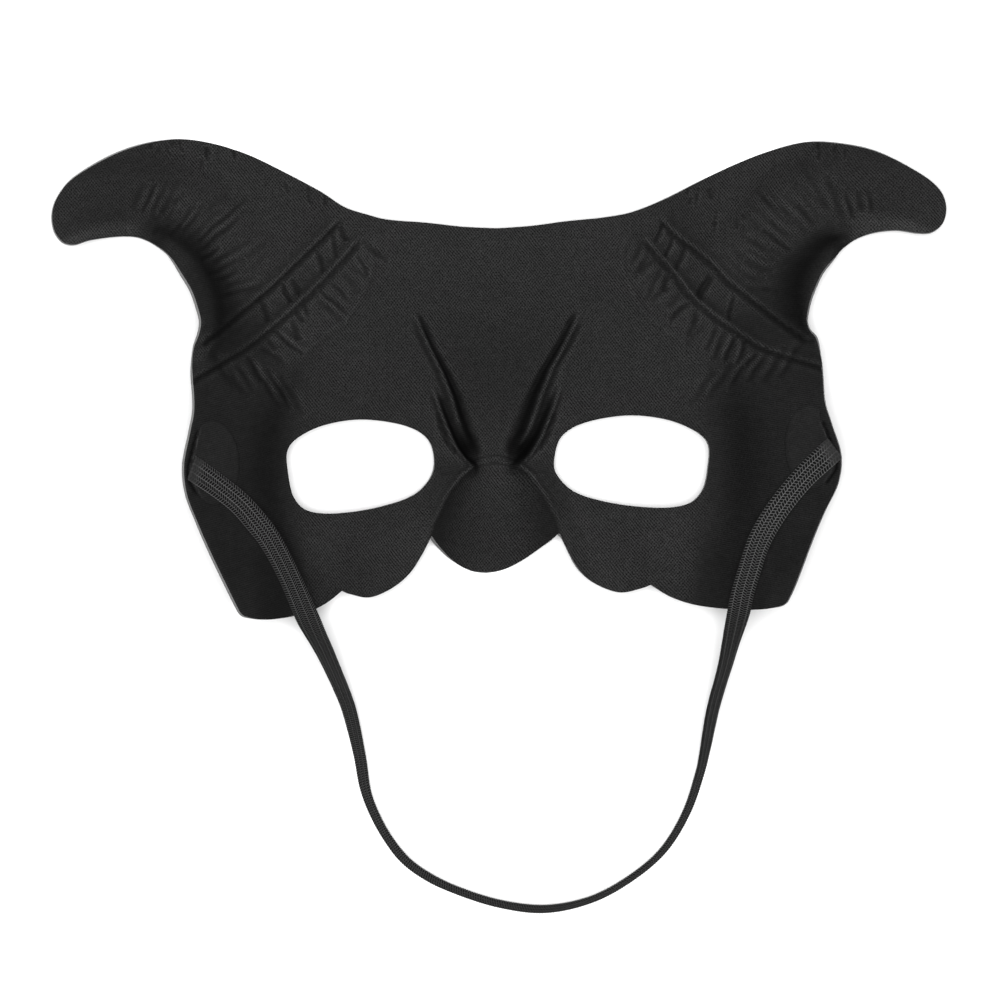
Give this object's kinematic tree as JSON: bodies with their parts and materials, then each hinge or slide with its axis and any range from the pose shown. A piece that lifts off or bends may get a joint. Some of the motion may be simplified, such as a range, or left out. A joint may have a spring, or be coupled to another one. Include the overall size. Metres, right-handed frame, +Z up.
{
  "type": "demon half mask",
  "caption": "Half-face demon mask of moulded black foam with horns, a frowning brow and a pointed nose, lying hollow side up with its flat elastic spread in a loop.",
  "frame": {"origin": "on the table, below the centre of the mask's own outline, without its strap", "axes": "+X to the right when looking down into the hollow side with the forehead away, +Y from the nose to the forehead, +Z up out of the hollow side"},
  "size_m": [0.2547, 0.2398, 0.0727],
  "materials": {
    "lining": "matt knitted lining, heat-pressed onto black foam",
    "patch_cloth": "matt knitted cloth",
    "braid": "braided elastic, low sheen"
  },
  "bodies": {
    "root": {"mask_shell": "lining", "strap_patch_left": "patch_cloth", "strap_patch_right": "patch_cloth", "elastic_strap": "braid"}
  },
  "joints": []
}
